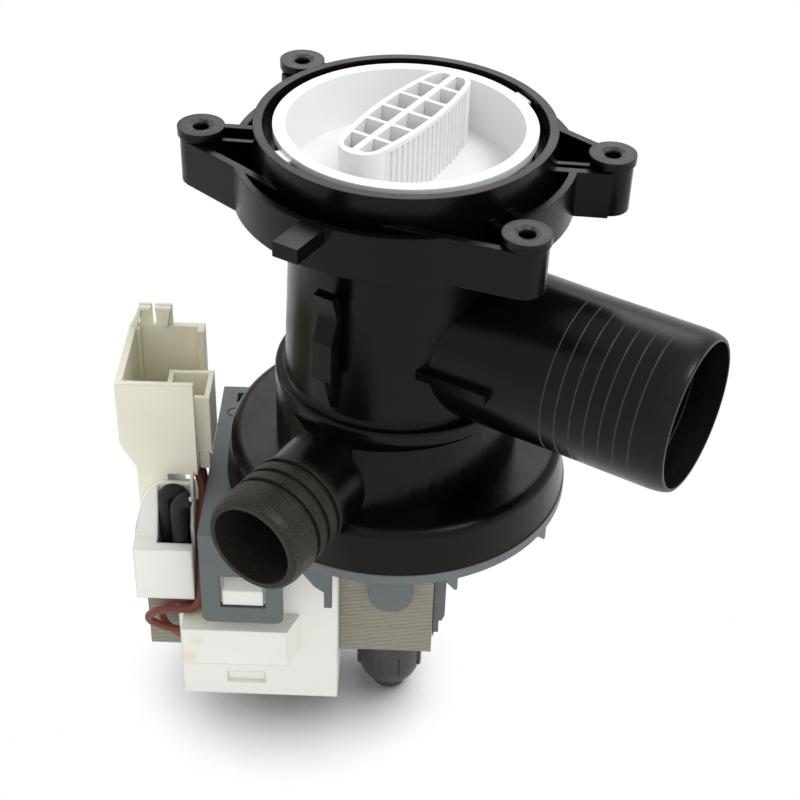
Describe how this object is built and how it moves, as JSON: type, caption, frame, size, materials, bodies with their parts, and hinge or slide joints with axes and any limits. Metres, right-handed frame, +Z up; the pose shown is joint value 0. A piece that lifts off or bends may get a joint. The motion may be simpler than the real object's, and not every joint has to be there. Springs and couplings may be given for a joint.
{
  "type": "washer drain pump",
  "caption": "Drain pump of a washing machine: flanged filter housing with inlet pipe, ridged outlet spigot, pull-out filter and a synchronous motor with a connector socket underneath.",
  "frame": {"origin": "centre of the four bolt holes, on the plane of the boss tops", "axes": "+Z up along the main axis, out of the filter; +X along the inlet pipe; -Y along the outlet spigot"},
  "size_m": [0.1514, 0.1113, 0.1902],
  "materials": {
    "black_plastic": "satin moulded, slightly grained",
    "white_plastic": "satin moulded",
    "ivory_plastic": "satin moulded",
    "grey_plastic": "satin moulded, glass filled",
    "dark_plastic": "satin moulded",
    "black_rubber": "matt rubber",
    "brown_rubber": "satin insulation",
    "laminations": "stacked varnished sheets",
    "ferrite": "sintered",
    "copper": "enamelled wire",
    "brass": "plain",
    "steel": "ground",
    "carbon": "sintered"
  },
  "bodies": {
    "pump_body": {"bolt_flange": "black_plastic", "filter_barrel": "black_plastic", "volute_drum": "black_plastic", "volute_disc": "black_plastic", "inlet_pipe": "black_plastic", "outlet_pipe": "black_plastic", "motor_flange": "grey_plastic", "chamber_seal": "black_rubber", "bearing_holder": "dark_plastic", "holder_seal": "black_rubber", "front_bearing": "carbon", "lip_seal": "black_rubber", "rear_cushion": "black_rubber", "rear_bearing": "carbon", "tail_cap": "dark_plastic", "stator_core": "laminations", "front_bobbin": "white_plastic", "rear_bobbin": "white_plastic", "front_winding": "copper", "rear_winding": "copper", "thermal_protector": "dark_plastic", "bobbin_cover": "white_plastic", "connector_housing": "ivory_plastic", "connector_tabs": "brass", "lead_holder": "ivory_plastic", "black_leads": "black_rubber", "brown_leads": "brown_rubber"},
    "cap_ring": {"cap_gasket": "black_rubber"},
    "filter": {"filter_cap": "white_plastic", "cap_grip": "white_plastic", "filter_basket": "white_plastic"},
    "rotor": {"rotor_shaft": "steel", "rotor_sleeve": "white_plastic", "rotor_magnet": "ferrite", "thrust_washers": "brass", "drive_dog": "white_plastic"},
    "impeller": {"impeller": "black_plastic"}
  },
  "joints": [
    {"name": "filter_pull", "type": "slide", "parent": "pump_body", "child": "cap_ring", "axis": [0, 0, 1], "range_m": [0, 0.08]},
    {"name": "filter_turn", "type": "hinge", "parent": "cap_ring", "child": "filter", "pos_m": [0, 0, 0], "axis": [0, 0, 1], "range_deg": [0, 90]},
    {"name": "rotor_spin", "type": "hinge", "parent": "pump_body", "child": "rotor", "pos_m": [0, 0, -0.12], "axis": [0, 0, 1], "continuous": true},
    {"name": "impeller_slip", "type": "hinge", "parent": "rotor", "child": "impeller", "pos_m": [0, 0, -0.08], "axis": [0, 0, 1], "range_deg": [-260, 8]}
  ]
}
